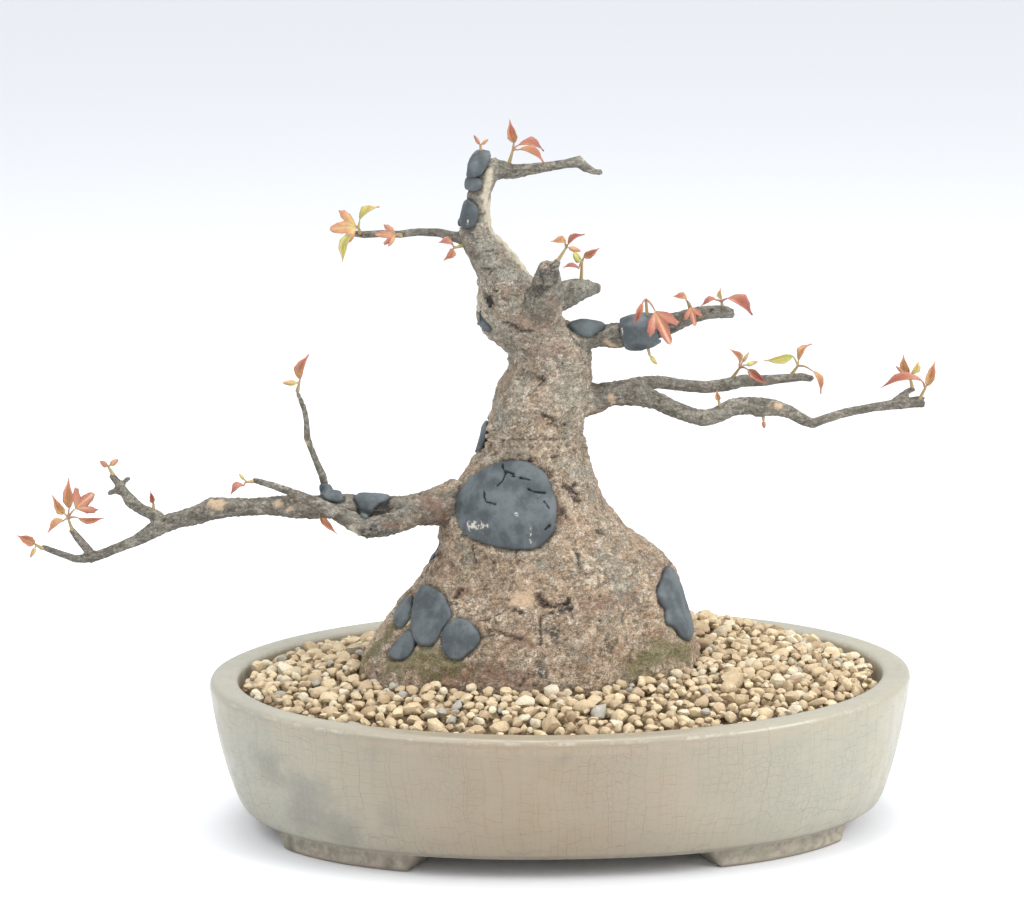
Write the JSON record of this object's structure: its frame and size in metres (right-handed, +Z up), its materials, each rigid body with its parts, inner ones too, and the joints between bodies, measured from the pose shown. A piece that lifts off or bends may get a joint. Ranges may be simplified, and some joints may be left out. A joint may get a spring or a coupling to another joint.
{
  "type": "potted bonsai tree",
  "caption": "Small maple bonsai with a thick flared trunk, pruned branches and new orange leaves, growing in an oval glazed pot with feet, filled with granular soil.",
  "frame": {"origin": "middle of the whole object's box in plan, on the surface that the pot's feet stand on", "axes": "+X along the long side of the pot to the right as seen from the front, +Y to the back, +Z up the trunk"},
  "size_m": [0.2714, 0.1498, 0.2114],
  "materials": {
    "bark": "rough flaking bark, tan with reddish and grey patches",
    "celadon_glaze": "pale grey-green glaze with fine crackle",
    "soil_grains": "matte porous clay grains",
    "screen_mesh": "black plastic mesh",
    "clip_wire": "plain aluminium wire",
    "cut_paste": "dried slate-grey wound putty",
    "new_leaf": "thin new leaf, yellow-green to orange and coral"
  },
  "bodies": {
    "root": {"tree": "bark", "pot": "celadon_glaze", "soil": "soil_grains", "drain_screen_left": "screen_mesh", "drain_screen_right": "screen_mesh", "screen_clip_left": "clip_wire", "screen_clip_right": "clip_wire", "cut_paste_apex": "cut_paste", "cut_paste_base_edge": "cut_paste", "cut_paste_base_left": "cut_paste", "cut_paste_base_right": "cut_paste", "cut_paste_base_round": "cut_paste", "cut_paste_base_small": "cut_paste", "cut_paste_front": "cut_paste", "cut_paste_knob": "cut_paste", "cut_paste_left_back": "cut_paste", "cut_paste_left_inner": "cut_paste", "cut_paste_left_outer": "cut_paste", "cut_paste_neck_lower": "cut_paste", "cut_paste_neck_root": "cut_paste", "cut_paste_neck_upper": "cut_paste", "cut_paste_right_band": "cut_paste", "cut_paste_right_root": "cut_paste", "cut_paste_waist": "cut_paste", "leafy_shoot_apex": "new_leaf", "leafy_shoot_back_mid": "new_leaf", "leafy_shoot_back_tip": "new_leaf", "leafy_shoot_cap": "new_leaf", "leafy_shoot_far_spur": "new_leaf", "leafy_shoot_far_tip": "new_leaf", "leafy_shoot_front_spur": "new_leaf", "leafy_shoot_front_stub": "new_leaf", "leafy_shoot_grey_stub": "new_leaf", "leafy_shoot_knobby": "new_leaf", "leafy_shoot_knobby_root": "new_leaf", "leafy_shoot_left_fan": "new_leaf", "leafy_shoot_left_mid": "new_leaf", "leafy_shoot_left_tip": "new_leaf", "leafy_shoot_neck": "new_leaf", "leafy_shoot_right_bud": "new_leaf", "leafy_shoot_right_mid": "new_leaf", "leafy_shoot_right_root": "new_leaf", "leafy_shoot_right_sprout": "new_leaf", "leafy_shoot_right_tip": "new_leaf", "leafy_shoot_right_under": "new_leaf", "leafy_shoot_riser": "new_leaf", "leafy_shoot_upper_left": "new_leaf", "leafy_shoot_upper_mid": "new_leaf"}
  },
  "joints": []
}
